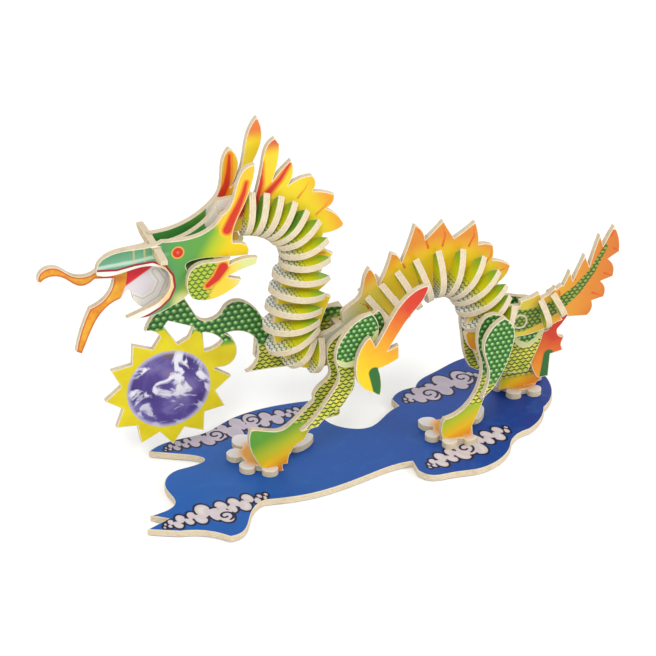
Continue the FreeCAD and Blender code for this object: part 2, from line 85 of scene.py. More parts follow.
def eased(loop, depth):
    """The outline moved into the wood by depth, for the sanded arris."""
    before = loop - np.roll(loop, 1, axis=0)
    after = np.roll(loop, -1, axis=0) - loop
    inward = []
    for a, b in zip(before, after):
        left_a = np.array((-a[1], a[0])) / np.hypot(*a)
        left_b = np.array((-b[1], b[0])) / np.hypot(*b)
        middle = left_a + left_b
        length = max(np.hypot(*middle), 0.9)
        inward.append(middle / length * min(2 / length, 1.4))
    return loop + depth * np.array(inward)


def gap_to_path(points, path, closed=False):
    """Distance of each point from a path of straight stretches."""
    path = np.asarray(path, float)
    ends = np.roll(path, -1, axis=0) if closed else path[1:]
    nearest = np.full(len(points), np.inf)
    for start, end in zip(path, ends):
        along = end - start
        share = np.clip((points - start) @ along / max(along @ along, 1e-12), 0, 1)
        gap = np.hypot(*(points - start - share[:, None] * along).T)
        nearest = np.minimum(nearest, gap)
    return nearest


def inside(points, loops):
    """True for the points that lie in the wood: inside an odd number of outlines."""
    crossings = np.zeros(len(points), int)
    for loop in loops:
        for (x1, y1), (x2, y2) in zip(loop, np.roll(loop, -1, axis=0)):
            if y1 == y2:
                continue
            spans = (points[:, 1] >= min(y1, y2)) & (points[:, 1] < max(y1, y2))
            crossing_x = x1 + (points[:, 1] - y1) * (x2 - x1) / (y2 - y1)
            crossings += spans & (crossing_x > points[:, 0])
    return crossings % 2 == 1


def dotted(loops, spacing):
    """Evenly spaced points inside the outlines, in staggered rows."""
    corners = np.vstack(loops)
    low, high = corners.min(axis=0), corners.max(axis=0)
    rows = []
    row_step = spacing * math.sin(math.radians(60))
    for number, y in enumerate(np.arange(low[1], high[1], row_step)):
        xs = np.arange(low[0] + spacing / 2 * (number % 2), high[0], spacing)
        rows.append(np.column_stack((xs, np.full(len(xs), y))))
    points = np.vstack(rows)
    points = points[inside(points, loops)]
    for loop in loops:
        points = points[gap_to_path(points, loop, closed=True) > 0.6 * spacing]
    return points


ARRIS = 0.16    # width of the eased arris along a cut edge, in millimetres
FAR_OFF = 9.0   # a gap, in millimetres, that no drawn mark reaches


def cut_plate(node, u, v, origin=Vector((0, 0, 0)), spacing=0.8, fine_zone=None, fine_spacing=0.6):
    """A piece in the shape of a cut plate: finely divided flat sides, eased arrises, walls between them.

    u and v lie in the sheet.  The piece remembers each point's place in the sheet, in millimetres, and its
    gap to the cut edge.
    """
    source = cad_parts[node].data
    normal = u.cross(v)
    levels = [normal.dot(vertex.co) for vertex in source.vertices]
    top = max(levels)
    half = (top - min(levels)) / 2 / MM
    loops = []
    for loop in outline_loops(source, normal, top):
        loops.append(np.array([((p - origin).dot(u), (p - origin).dot(v)) for p in loop]) / MM)
    inner = [eased(loop, ARRIS) for loop in loops]
    points = dotted(inner, spacing)
    if fine_zone:
        fine = dotted(inner, fine_spacing)
        points = np.vstack((points[~fine_zone(points)], fine[fine_zone(fine)]))
    given = np.vstack(inner + [points])
    borders = []
    first = 0
    for loop in inner:
        count = len(loop)
        borders += [(first + i, first + (i + 1) % count) for i in range(count)]
        first += count
    filled = delaunay_2d_cdt([Vector(p) for p in given], borders, [], 0, 1e-6)
    flat = np.array([tuple(p) for p in filled[0]])
    faces, sources = filled[2], filled[3]
    position = {}
    for number, origins in enumerate(sources):
        for given_number in origins:
            position[given_number] = number
    middles = np.array([flat[list(face)].mean(axis=0) for face in faces])
    kept = [face for face, wood in zip(faces, inside(middles, inner)) if wood]
    cover = []
    for face in kept:
        (x1, y1), (x2, y2), (x3, y3) = flat[list(face)]
        turning = (x2 - x1) * (y3 - y1) - (x3 - x1) * (y2 - y1)
        cover.append(tuple(face) if turning > 0 else tuple(reversed(face)))
    outer = np.vstack(loops)
    count, rim = len(flat), len(outer)
    sheet = np.vstack((flat, flat, outer, outer))
    heights = np.concatenate((np.full(count, half), np.full(count, -half),
                              np.full(rim, half - ARRIS), np.full(rim, ARRIS - half)))
    all_faces = cover + [tuple(count + i for i in reversed(face)) for face in cover]
    printed_faces = len(all_faces)
    for start, end in borders:
        rows = [(position[start], position[end])]
        rows.append((2 * count + start, 2 * count + end))
        rows.append((2 * count + rim + start, 2 * count + rim + end))
        rows.append((count + position[start], count + position[end]))
        for (a, b), (c, d) in zip(rows, rows[1:]):
            all_faces.append((a, c, d, b))
    anchor = np.array(origin - normal * normal.dot(origin) + normal * (top - half * MM))
    places = anchor + (sheet[:, :1] * np.array(u) + sheet[:, 1:] * np.array(v)
                       + heights[:, None] * np.array(normal)) * MM
    mesh = bpy.data.meshes.new(node + "_cut")
    mesh.from_pydata(places.tolist(), [], all_faces)
    piece = bpy.data.objects.new(node + "_plate", mesh)
    bpy.context.scene.collection.objects.link(piece)
    material_of_face = np.ones(len(all_faces), np.int32)
    material_of_face[:printed_faces] = 0
    mesh.polygons.foreach_set("material_index", material_of_face)
    mesh.shade_smooth()
    mesh.set_sharp_from_angle(angle=math.radians(30))
    edge_gaps = [gap_to_path(sheet, loop, closed=True) for loop in loops]
    note(piece, "edge_gap", np.min(edge_gaps, axis=0))
    where = mesh.attributes.new("place", "FLOAT_VECTOR", "POINT")
    where.data.foreach_set("vector", np.column_stack((sheet, heights)).astype(np.float32).ravel())
    return piece, sheet


def note(piece, name, values):
    """Keep one number for each point of a piece, for its print."""
    kept = piece.data.attributes.new(name, "FLOAT", "POINT")
    kept.data.foreach_set("value", np.asarray(values, np.float32))


def dye(red, green, blue):
    """A print colour as seen on the paper, from 0 to 255, as the shader wants it."""
    linear = []
    for share in (red / 255, green / 255, blue / 255):
        linear.append(share / 12.92 if share <= 0.04045 else ((share + 0.055) / 1.055) ** 2.4)
    return (*linear, 1.0)


class Ink:
    """A shader socket that takes part in sums; node() adds any other node beside it."""

    def __init__(self, tree, socket=None):
        self.tree = tree
        self.socket = socket

    def node(self, kind, settings, inputs, output=0):
        added = self.tree.nodes.new(kind)
        for key, value in settings.items():
            if key != "stops":
                setattr(added, key, value)
                continue
            stops = added.color_ramp.elements
            stops.remove(stops[-1])
            stops[0].position, stops[0].color = value[0]
            for position, colour in value[1:]:
                stops.new(position).color = colour
        for key, value in inputs.items():
            if isinstance(value, Ink):
                self.tree.links.new(value.socket, added.inputs[key])
            else:
                added.inputs[key].default_value = value
        return Ink(self.tree, added.outputs[output] if len(added.outputs) else None)

    def maths(self, operation, *values):
        return self.node("ShaderNodeMath", {"operation": operation}, dict(enumerate(values)))

    def __add__(self, other):
        return self.maths("ADD", self, other)

    def __radd__(self, other):
        return self.maths("ADD", other, self)

    def __sub__(self, other):
        return self.maths("SUBTRACT", self, other)

    def __rsub__(self, other):
        return self.maths("SUBTRACT", other, self)

    def __mul__(self, other):
        return self.maths("MULTIPLY", self, other)

    def __rmul__(self, other):
        return self.maths("MULTIPLY", other, self)

    def __truediv__(self, other):
        return self.maths("DIVIDE", self, other)

    def noted(self, name):
        """A number kept on the piece by note()."""
        return self.node("ShaderNodeAttribute", {"attribute_name": name}, {}, "Fac")

    def place(self):
        """The point's place in its sheet, in millimetres."""
        return self.node("ShaderNodeAttribute", {"attribute_name": "place"}, {}, "Vector")

    def length(self, axis):
        """One length of that place: X across the sheet, Y up it, Z through it."""
        return self.node("ShaderNodeSeparateXYZ", {}, {"Vector": self.place()}, axis)

    def ramp(self, *stops):
        """A colour that changes with this number, smoothly from stop to stop."""
        return self.node("ShaderNodeValToRGB", {"stops": stops}, {"Fac": self})

    def rise(self, low, high):
        """0 below low, 1 above high, smooth between."""
        return self.node("ShaderNodeMapRange", {"interpolation_type": "SMOOTHSTEP"},
                         {"Value": self, "From Min": low, "From Max": high})

    def mix(self, under, over, share):
        """The colour over laid on the colour under by a share from 0 to 1."""
        return self.node("ShaderNodeMix", {"data_type": "RGBA"}, {0: share, 6: under, 7: over}, 2)

    def cloudy(self, vector, scale, detail=3.0, distortion=0.0):
        """Soft uneven noise about one half."""
        sockets = {"Vector": vector, "Scale": scale, "Detail": detail, "Distortion": distortion}
        return self.node("ShaderNodeTexNoise", {}, sockets, "Fac")


def finish_of(name):
    """An empty material and the ink to fill it."""
    material = bpy.data.materials.new(name)
    material.use_nodes = True
    material.node_tree.nodes.clear()
    return material, Ink(material.node_tree)


def lacquered(ink, colour, roughness, height, depth, coat):
    """Join colour, roughness and relief into the surface of the sheet; depth is in metres."""
    bump = ink.node("ShaderNodeBump", {}, {"Height": height, "Distance": depth, "Strength": 0.6}, "Normal")
    surface = ink.node("ShaderNodeBsdfPrincipled", {},
                       {"Base Color": colour, "Roughness": roughness, "Normal": bump, "Coat Weight": coat,
                        "Coat Roughness": 0.3, "Specular IOR Level": 0.25}, "BSDF")
    ink.node("ShaderNodeOutputMaterial", {}, {"Surface": surface})


CREAM = dye(222, 211, 190)


MARGIN = 0.32        # the bare edge of the paper, in millimetres
MARGIN_BLUR = 0.12   # half the width over which the ink fades out there
INK_SHADE = dye(150, 150, 150)


def paper_print(ink, ground, relief=0.0):
    """Printed paper on the plywood: a bare cream margin at the cut edge, faint mottle, grain underneath."""
    vector = ink.place()
    wander = ink.cloudy(vector, 0.9) - 0.5
    shown = (ink.noted("edge_gap") + wander * 0.2).rise(MARGIN - MARGIN_BLUR, MARGIN + MARGIN_BLUR)
    mottle = ink.cloudy(vector, 0.35, 4.0)
    faded = ink.mix(ground, CREAM, mottle.rise(0.5, 0.9) * 0.04)
    density = ink.cloudy(vector, 2.6, 2.0).rise(0.5, 0.8) * 0.10 + 0.4
    deeper = ink.node("ShaderNodeMix", {"data_type": "RGBA", "blend_type": "MULTIPLY"},
                      {0: density, 6: faded, 7: INK_SHADE}, 2)
    colour = ink.mix(CREAM, deeper, shown)
    fibres = ink.cloudy(vector, 4.0, 4.0)
    lacquered(ink, colour, 0.36 + 0.22 * mottle, fibres * 0.25 + relief + shown * 0.4, 0.00012, 0.06)


ply_edge, ink = finish_of("ply_edge")
vector = ink.place()
through = ink.length("Z")
along_plies = ink.node("ShaderNodeVectorMath", {"operation": "MULTIPLY"}, {0: vector, 1: (0.5, 0.5, 3.0)})
streaks = ink.cloudy(along_plies, 1.4, 4.0)
glue_line = 1 - ink.maths("ABSOLUTE", ink.maths("ABSOLUTE", through) - 0.5).rise(0.03, 0.16)
bare = streaks.ramp((0.25, dye(184, 168, 138)), (0.5, dye(204, 190, 162)), (0.8, dye(220, 208, 184)))
scorched = ink.cloudy(vector, 0.18, 2.0).rise(0.52, 0.75)
edge_colour = ink.mix(bare, dye(178, 150, 112), glue_line * 0.45)
edge_colour = ink.mix(edge_colour, dye(170, 140, 105), scorched * 0.28)
lacquered(ink, edge_colour, 0.62 + 0.2 * streaks, streaks + glue_line * -0.6, 0.0002, 0.0)


def fit_out(piece, node, print_finish):
    """Give a plate its print and its bare edge, and let it stand for its node."""
    piece.data.materials.append(print_finish)
    piece.data.materials.append(ply_edge)
    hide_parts(node)
    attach(piece, "root")


CLOUD_TIP = 1.5      # from the end of a cloud to its first puff, in millimetres
SMALLEST_PUFF = 0.9
PUFF_STEP = 0.85     # from one puff to the next, in radii of the puff

# each cloud: its two ends, the middles of its curls, and the size that its puffs swell to
clouds = [
    ((-104, -35.5), (-51, -26.5), [(-75, -36)], 6.0),
    ((-87, 25), (-12, 39), [(-60, 30), (-40, 37)], 6.5),
    ((22, -29), (73, -9), [(45, -19.5)], 7.0),
    ((33, 29), (79, 43), [(48, 32), (69, 41)], 7.5),
]
cloud_puffs = []
curl_paths = []
for tip, tail, curls, largest in clouds:
    tip, tail = np.array(tip), np.array(tail)
    length = np.hypot(*(tail - tip))
    side = np.array((-(tail - tip)[1], (tail - tip)[0])) / length
    puffs = []
    reached = CLOUD_TIP
    number = 0
    while reached < length - CLOUD_TIP:
        share = reached / length
        swell = math.sin(math.pi * share) ** 0.8
        radius = SMALLEST_PUFF + 0.72 * largest * swell * (0.8 + 0.2 * math.sin(5.1 * number))
        centre = tip + (tail - tip) * share + side * radius * 0.55 * (1 if number % 2 else -1)
        puffs.append((abs(share - 0.5), centre, radius, side))
        reached += PUFF_STEP * radius
        number += 1
    for centre in curls:
        puffs.append((-1, np.array(centre), largest * 0.85, side))
        turns = np.linspace(-0.4 * math.pi, 1.7 * math.pi, 40)
        reach = largest * 0.62 * np.linspace(1, 0.25, len(turns))
        curl_paths.append(np.array(centre) + np.column_stack((np.cos(turns) * reach, np.sin(turns) * reach)))
    cloud_puffs += [puff[1:] for puff in sorted(puffs, key=lambda puff: -puff[0])]


def puff_rim(points, centre, radius, side):
    """Distance outside the rim of a puff, which is longer across the cloud than along it."""
    offset = points - centre
    across_cloud = offset @ side
    along_cloud = offset @ np.array((side[1], -side[0]))
    return np.hypot(along_cloud * 1.3, across_cloud * 0.85) - radius


def near_clouds(points):
    """True for the points in a cloud or close to its rim."""
    near = np.zeros(len(points), bool)
    for puff in cloud_puffs:
        near |= puff_rim(points, *puff) < 1.2
    return near


base, sheet = cut_plate("base_plate", ACROSS_X, ACROSS_Y, spacing=1.8, fine_zone=near_clouds)
cloud_gap = np.full(len(sheet), FAR_OFF)
pen_gap = np.full(len(sheet), FAR_OFF)
for puff in cloud_puffs:
    rim = puff_rim(sheet, *puff)
    pen_gap = np.where(rim < 0, -rim, np.minimum(pen_gap, rim))
    cloud_gap = np.minimum(cloud_gap, rim)
note(base, "cloud_gap", cloud_gap)
# inside a cloud only the outer end of each line between two puffs is drawn, and the curls
pen_gap = np.where(cloud_gap < -1.1, np.maximum(pen_gap, 1.0), pen_gap)
for path in curl_paths:
    pen_gap = np.minimum(pen_gap, gap_to_path(sheet, path))
note(base, "pen_gap", pen_gap)

sky_print, ink = finish_of("sky_print")
vector = ink.place()
across = ink.length("X")
upward = ink.length("Y")
sky = (across / 230 + 0.5).ramp((0.1, dye(16, 96, 184)), (0.55, dye(10, 80, 168)), (0.95, dye(14, 54, 148)))
brushed = ink.cloudy(vector, 0.06, 4.0, 1.5)
sky = ink.mix(sky, dye(34, 112, 194), brushed.rise(0.5, 0.75) * 0.3)
far_side = (upward / 60 + 0.5 + brushed * 0.3).rise(0.55, 1.05)
cloud = ink.mix(dye(238, 230, 226), dye(196, 188, 205), far_side)
cloud = ink.mix(cloud, dye(214, 196, 208), ink.noted("pen_gap").rise(3.2, 0.8) * 0.6)
drawn = ink.mix(sky, cloud, ink.noted("cloud_gap").rise(0.12, -0.12))
drawn = ink.mix(drawn, dye(24, 22, 58), ink.noted("pen_gap").rise(0.72, 0.42))
paper_print(ink, drawn)
fit_out(base, "base_plate", sky_print)

# Spine plates
# Three plates joined end to end by jigsaw knobs, with the yellow and orange crest cut in one with them.
# Each crest point is printed with a red-orange vein on its rear side, and the lowest points are pale.
SPINE = np.array([(-66, 129), (-56, 129.5), (-46, 128), (-37, 123.5), (-30.5, 116), (-27.5, 107), (-30, 89),
                  (-33, 70), (-30, 61), (-22, 56.5), (-12, 58), (6, 70), (15, 77), (25, 83.5), (36, 87),
                  (46, 85.5), (54, 79), (59, 70), (62.5, 61.5), (70, 56), (80, 54), (90, 56), (99, 60),
                  (107, 66), (114, 74.5), (120, 86)])


def tapering_gap(points, path, thick_start, thick_end):
    """Distance from a drawn stroke whose half thickness changes from its start to its end."""
    path = np.asarray(path, float)
    nearest = np.full(len(points), FAR_OFF)
    count = len(path) - 1
    for number in range(count):
        start, end = path[number], path[number + 1]
        along = end - start
        share = np.clip((points - start) @ along / (along @ along), 0, 1)
        gap = np.hypot(*(points - start - share[:, None] * along).T)
        thick = thick_start + (thick_end - thick_start) * (number + share) / count
        nearest = np.minimum(nearest, gap - thick)
    return nearest


def scale_rows(ink, across, upward, width, height):
    """Rows of overlapping scales: the gap to the nearest scale's rim, and the share down the scale."""
    level = upward / height
    offset = ink.maths("FLOORED_MODULO", ink.maths("FLOOR", level), 2.0) * 0.5
    down = 1 - ink.maths("FRACT", level)
    aside = (ink.maths("FRACT", across / width + offset) - 0.5) * width
    below = down * height
    rim = ink.maths("ABSOLUTE", ink.maths("SQRT", aside * aside + below * below) - 0.47 * width)
    return rim, down


def crest_plate(node, tips, lean, stripes=()):
    """A spine plate with a vein drawn from each crest tip towards the spine; lean slants it along X."""
    piece, sheet = cut_plate(node, ACROSS_X, UP, spacing=0.9)
    stroke = np.full(len(sheet), FAR_OFF)
    for tip in tips:
        tip = np.array(tip, float)
        foot = SPINE[np.argmin(np.hypot(*(SPINE - tip).T))]
        reach = tip - foot
        bent = [tip - reach * 0.08, tip - reach * 0.3 + (lean, 0), tip - reach * 0.5 + (0.6 * lean, 0)]
        stroke = np.minimum(stroke, tapering_gap(sheet, bent, 0.15, 0.55))
    mane_stripe = np.full(len(sheet), FAR_OFF)
    for path in stripes:
        mane_stripe = np.minimum(mane_stripe, tapering_gap(sheet, path, 1.9, 0.6))
    note(piece, "reach", gap_to_path(sheet, SPINE))
    note(piece, "stroke", stroke)
    note(piece, "mane_stripe", mane_stripe)
    return piece, sheet


def crest_print(name, low_stops, tip_colour, tip_reach):
    """The crest's print: a colour run along the body, deeper tips, veins, and scales on the tail's band."""
    finish, ink = finish_of(name)
    across = ink.length("X")
    upward = ink.length("Y")
    ground = (across / 260 + 0.5).ramp(*low_stops)
    reach = ink.noted("reach")
    ground = ink.mix(ground, tip_colour, reach.rise(*tip_reach))
    ground = ink.mix(ground, dye(225, 80, 25), ink.noted("stroke").rise(0.25, -0.2) * 0.9)
    ground = ink.mix(ground, dye(245, 150, 30), ink.noted("mane_stripe").rise(1.6, 0.2))
    ground = ink.mix(ground, dye(213, 52, 26), ink.noted("mane_stripe").rise(0.3, -0.5))
    rim = scale_rows(ink, across, upward, 2.6, 1.7)[0]
    scaly = ink.mix(dye(146, 166, 54), dye(46, 82, 34), rim.rise(0.5, 0.2))
    plain = (reach + (across - 80) * 0.11).rise(5.0, 5.8)
    ground = ink.mix(ground, scaly, across.rise(70.0, 74.0) * (1 - plain))
    paper_print(ink, ground)
    return finish


EAR_MIDDLE = (-64.0, 131.5)   # middle of the white oval by the ear
neck, sheet = crest_plate(
    "neck_spine",
    [(-32, 151), (-22.5, 142.5), (-12.5, 132), (-8, 117), (-13, 104), (-14, 91.5), (-14, 83)], 0.9,
    [[(-58, 131), (-52, 138), (-49.5, 147)], [(-46, 133), (-42, 138), (-37, 143), (-32, 150.5)],
     [(-55, 130), (-48, 135), (-45.5, 142), (-45, 152)]])
note(neck, "ear", np.hypot((sheet[:, 0] - EAR_MIDDLE[0]) / 6.4, (sheet[:, 1] - EAR_MIDDLE[1]) / 8.5))
neck_print, ink = finish_of("neck_print")
across = ink.length("X")
upward = ink.length("Y")
reach = ink.noted("reach")
ground = (across / 260 + 0.5).ramp(
    (0.30, dye(248, 204, 45)), (0.36, dye(246, 220, 40)), (0.43, dye(242, 214, 24)))
ground = ink.mix(ground, dye(242, 150, 40), reach.rise(12.0, 22.0) * across.rise(-30.0, -14.0) * 0.8)
ground = ink.mix(ground, dye(222, 90, 55), upward.rise(154.0, 161.0))
ground = ink.mix(ground, dye(240, 120, 35), ink.noted("stroke").rise(0.3, -0.2) * 0.8)
ground = ink.mix(ground, dye(245, 140, 30), ink.noted("mane_stripe").rise(1.4, 0.1))
ground = ink.mix(ground, dye(214, 50, 26), ink.noted("mane_stripe").rise(0.2, -0.6))
ground = ink.mix(ground, dye(246, 242, 232), ink.noted("ear").rise(1.12, 1.0))
paper_print(ink, ground)
fit_out(neck, "neck_spine", neck_print)

back = crest_plate(
    "back_spine",
    [(4, 93), (14, 99.5), (25, 111.5), (38.5, 111.5), (54, 108.5), (63, 95.5), (72, 84), (-1, 78)], 1.8)[0]
back_print = crest_print(
    "back_print",
    [(0.46, dye(240, 236, 214)), (0.51, dye(246, 226, 90)), (0.56, dye(250, 214, 20)),
     (0.68, dye(250, 205, 25)), (0.76, dye(228, 214, 40))],
    dye(230, 142, 42), (8.0, 19.0))
fit_out(back, "back_spine", back_print)

tail = crest_plate(
    "tail_spine",
    [(87.5, 67), (95.5, 69), (102.5, 76), (109.5, 83), (116.5, 92), (123.5, 95.5), (127, 82), (124.5, 69.5),
     (120.5, 59.5)], 0.8)[0]
tail_print = crest_print(
    "tail_print",
    [(0.79, dye(214, 204, 70)), (0.85, dye(232, 178, 48)), (0.92, dye(228, 142, 44)),
     (1.0, dye(214, 112, 40))],
    dye(216, 112, 42), (9.0, 18.0))
fit_out(tail, "tail_spine", tail_print)

# Ribs
# Rounded plates pushed over the belly side of the spine, each held by the friction of its slot.
# The print runs from green at the two ears through yellow to a white belly with rows of olive scales.
rib_print, ink = finish_of("rib_print")
across = ink.length("X")
upward = ink.length("Y")
ground = ((upward + 12) / 24).ramp(
    (0.04, dye(255, 255, 250)), (0.24, dye(252, 252, 226)), (0.38, dye(244, 242, 100)),
    (0.52, dye(242, 236, 24)), (0.66, dye(220, 226, 34)), (0.88, dye(146, 196, 50)), (1.0, dye(110, 170, 56)))
rim, down = scale_rows(ink, across, upward, 3.0, 1.9)
crescent = rim.rise(0.42, 0.16) * down.rise(0.0, 0.5) * upward.rise(2.0, -4.0) * 0.85
ground = ink.mix(ground, dye(70, 90, 34), crescent)
paper_print(ink, ground, relief=crescent * -0.3)

SLOT_HALF = 1.6   # half the width of a rib's slot, in millimetres
for node in sorted(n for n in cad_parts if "_rib_" in n):
    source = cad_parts[node].data
    broadest = max(source.polygons, key=lambda face: face.area if abs(face.normal.y) < 0.01 else 0)
    dorsal = Vector((-broadest.normal.z, 0, broadest.normal.x))
    middle = sum((vertex.co for vertex in source.vertices), Vector()) / len(source.vertices)
    belly = [vertex.co for vertex in source.vertices if abs(vertex.co.y) < 0.3 * MM]
    if (middle - belly[0]).dot(dorsal) < 0:
        dorsal.negate()
    slot_sides = [vertex.co for vertex in source.vertices
                  if abs(abs(vertex.co.y) - SLOT_HALF * MM) < 0.02 * MM]
    slot_end = min(slot_sides, key=lambda point: point.dot(dorsal))
    origin = Vector((slot_end.x, 0, slot_end.z))
    rib = cut_plate(node, ACROSS_Y, dorsal, origin=origin, spacing=0.8)[0]
    fit_out(rib, node, rib_print)

# Head plates
# A centre plate with whisker, tongue and mouth between two side plates, and a scaly frill on each cheek.
# The near plate carries the eye and the red lip, and the plates rise at the back into flame-like horns.
LIP = [(-119.5, 114.5), (-111, 113.5), (-103, 114.6), (-96, 114.8), (-91.5, 112.5), (-89, 108.5),
       (-88.6, 104), (-90.5, 100), (-94, 97), (-99, 94.5), (-107, 92)]
HORNS = {
    "head_near_side": [(-62.8, 126.5), (-60.2, 132), (-57.6, 137), (-55.4, 142), (-54, 147)],
    "head_far_side": [(-62, 134), (-58.5, 141), (-57.5, 147), (-57, 154)],
}
EYE = (-84.6, 119.5)


def head_side(node):
    """A side plate of the head, with the gaps to its lip and its horn stripe."""
    piece, sheet = cut_plate(node, ACROSS_X, UP, spacing=0.7)
    note(piece, "lip", gap_to_path(sheet, LIP))
    note(piece, "horn", tapering_gap(sheet, HORNS[node], 1.9, 0.6))
    return piece


def distance_to(ink, across, upward, spot):
    """Distance in the sheet from a spot."""
    here = ink.node("ShaderNodeCombineXYZ", {}, {"X": across, "Y": upward, "Z": 0.0})
    return ink.node("ShaderNodeVectorMath", {"operation": "DISTANCE"}, {0: here, 1: (*spot, 0.0)}, "Value")


head_print, ink = finish_of("head_near_print")
vector = ink.place()
across = ink.length("X")
upward = ink.length("Y")
ground = ((across + 120) / 66).ramp(
    (0.0, dye(104, 164, 128)), (0.28, dye(118, 176, 140)), (0.44, dye(88, 158, 92)),
    (0.66, dye(98, 166, 66)), (0.95, dye(92, 162, 58)))
lower_back = across - 0.6 * (upward - 118)
ground = ink.mix(ground, dye(190, 206, 30), lower_back.rise(-77.0, -69.0))
ground = ink.mix(ground, dye(244, 210, 10), lower_back.rise(-71.0, -62.0))
ground = ink.mix(ground, dye(248, 200, 44), upward.rise(126.0, 131.0) * across.rise(-70.0, -66.0))
sheen = ink.maths("ABSOLUTE", upward - across * 0.06 - 125.6 + ink.cloudy(vector, 0.12) * 1.5).rise(1.3, 0.2)
ground = ink.mix(ground, dye(214, 238, 220), sheen * across.rise(-86.0, -98.0) * 0.7)
shade = upward.rise(119.0, 125.0) * across.rise(-92.0, -100.0)
ground = ink.mix(ground, dye(62, 140, 88), shade * 0.7)
bands = ink.maths("ABSOLUTE", ink.maths("FRACT", across / 4.6) - 0.5).rise(0.14, 0.04)
snout = across.rise(-96.0, -97.0) * across.rise(-108.0, -107.0)
ground = ink.mix(ground, dye(226, 196, 130), bands * snout * 0.55)
ground = ink.mix(ground, dye(228, 226, 150), upward.rise(103.0, 97.0) * across.rise(-90.0, -84.0))
ground = ink.mix(ground, dye(244, 206, 30), ink.noted("horn").rise(2.2, 1.2))
ground = ink.mix(ground, dye(244, 140, 28), ink.noted("horn").rise(1.2, 0.4))
ground = ink.mix(ground, dye(216, 52, 24), ink.noted("horn").rise(0.3, -0.4))
lip = ink.noted("lip")
inner_lip = ink.mix(dye(250, 246, 238), dye(250, 214, 140), across.rise(-96.0, -91.0))
ground = ink.mix(ground, inner_lip, lip.rise(2.0, 1.8))
ground = ink.mix(ground, dye(160, 34, 54), ink.maths("ABSOLUTE", lip - 2.2).rise(0.62, 0.38))
from_eye = distance_to(ink, across, upward, EYE)
ground = ink.mix(ground, dye(236, 178, 64), from_eye.rise(3.0, 2.7))
ground = ink.mix(ground, dye(214, 44, 26), from_eye.rise(2.4, 2.1))
ground = ink.mix(ground, dye(246, 120, 70), from_eye.rise(1.1, 0.2) * 0.8)
paper_print(ink, ground)
fit_out(head_side("head_near_side"), "head_near_side", head_print)

far_print, ink = finish_of("head_far_print")
vector = ink.place()
across = ink.length("X")
upward = ink.length("Y")
ground = ((across + 96) / 54).ramp(
    (0.0, dye(74, 150, 70)), (0.35, dye(66, 150, 56)), (0.55, dye(120, 176, 60)),
    (0.72, dye(250, 190, 40)), (1.0, dye(250, 226, 40)))
deep_patches = ink.cloudy(vector, 0.1, 3.0).rise(0.45, 0.7) * across.rise(-62.0, -70.0)
ground = ink.mix(ground, dye(48, 122, 62), deep_patches)
tall = across.rise(-54.5, -52.0)
ground = ink.mix(ground, dye(250, 222, 40), tall * upward.rise(128.0, 136.0))
ground = ink.mix(ground, dye(238, 128, 60), tall * upward.rise(158.0, 164.5))
ground = ink.mix(ground, dye(244, 150, 30), ink.noted("horn").rise(1.6, 0.6))
ground = ink.mix(ground, dye(212, 52, 24), ink.noted("horn").rise(0.4, -0.5))
eared = distance_to(ink, across * 1.4, upward, (-63.0 * 1.4, 128.5))
ground = ink.mix(ground, dye(246, 243, 235), eared.rise(7.4, 6.8))
paper_print(ink, ground)
fit_out(head_side("head_far_side"), "head_far_side", far_print)

centre, sheet = cut_plate("head_centre", ACROSS_X, UP, spacing=0.7)
jaw = tapering_gap(sheet, [(-104, 98), (-99, 95), (-93, 98), (-90, 104), (-93, 109)], 2.6, 2.2)
tongue_path = [(-108, 110), (-109, 105), (-111, 101), (-118, 94.5), (-124.5, 86), (-128, 76)]
tongue = tapering_gap(sheet, tongue_path, 2.8, 3.6)
whisker = tapering_gap(sheet, [(-120.5, 111.5), (-125, 110.5), (-134, 115), (-143, 113)], 4.0, 4.5)
note(centre, "jaw", jaw)
note(centre, "tongue", np.minimum(tongue, whisker))
note(centre, "ear", np.hypot((sheet[:, 0] + 64.0) / 6.8, (sheet[:, 1] - 130.5) / 8.5))
centre_print, ink = finish_of("head_centre_print")
vector = ink.place()
across = ink.length("X")
upward = ink.length("Y")
mouth = ink.mix(dye(236, 228, 234), dye(226, 32, 44), (upward - 0.6 * across).rise(167.0, 168.2))
ground = ink.mix(mouth, dye(88, 166, 76), (upward + across.rise(-96.0, -88.0) * 6).rise(113.0, 116.0))
ground = ink.mix(ground, dye(150, 205, 170), across.rise(-98.0, -106.0) * upward.rise(113.0, 116.0))
ground = ink.mix(ground, dye(244, 240, 232), ink.noted("jaw").rise(0.6, 0.1))
gum_line = ink.maths("ABSOLUTE", ink.noted("jaw") + 0.9).rise(0.5, 0.15)
ground = ink.mix(ground, dye(205, 196, 196), gum_line * 0.7)
licked = ink.cloudy(vector, 0.25, 3.0).ramp(
    (0.3, dye(222, 130, 26)), (0.5, dye(236, 158, 34)), (0.7, dye(244, 186, 52)))
licked = ink.mix(dye(206, 92, 40), licked, ink.noted("edge_gap").rise(0.5, 1.3))
ground = ink.mix(ground, licked, ink.noted("tongue").rise(0.3, -0.1))
ground = ink.mix(ground, dye(246, 243, 235), ink.noted("ear").rise(1.1, 1.0))
paper_print(ink, ground)
fit_out(centre, "head_centre", centre_print)

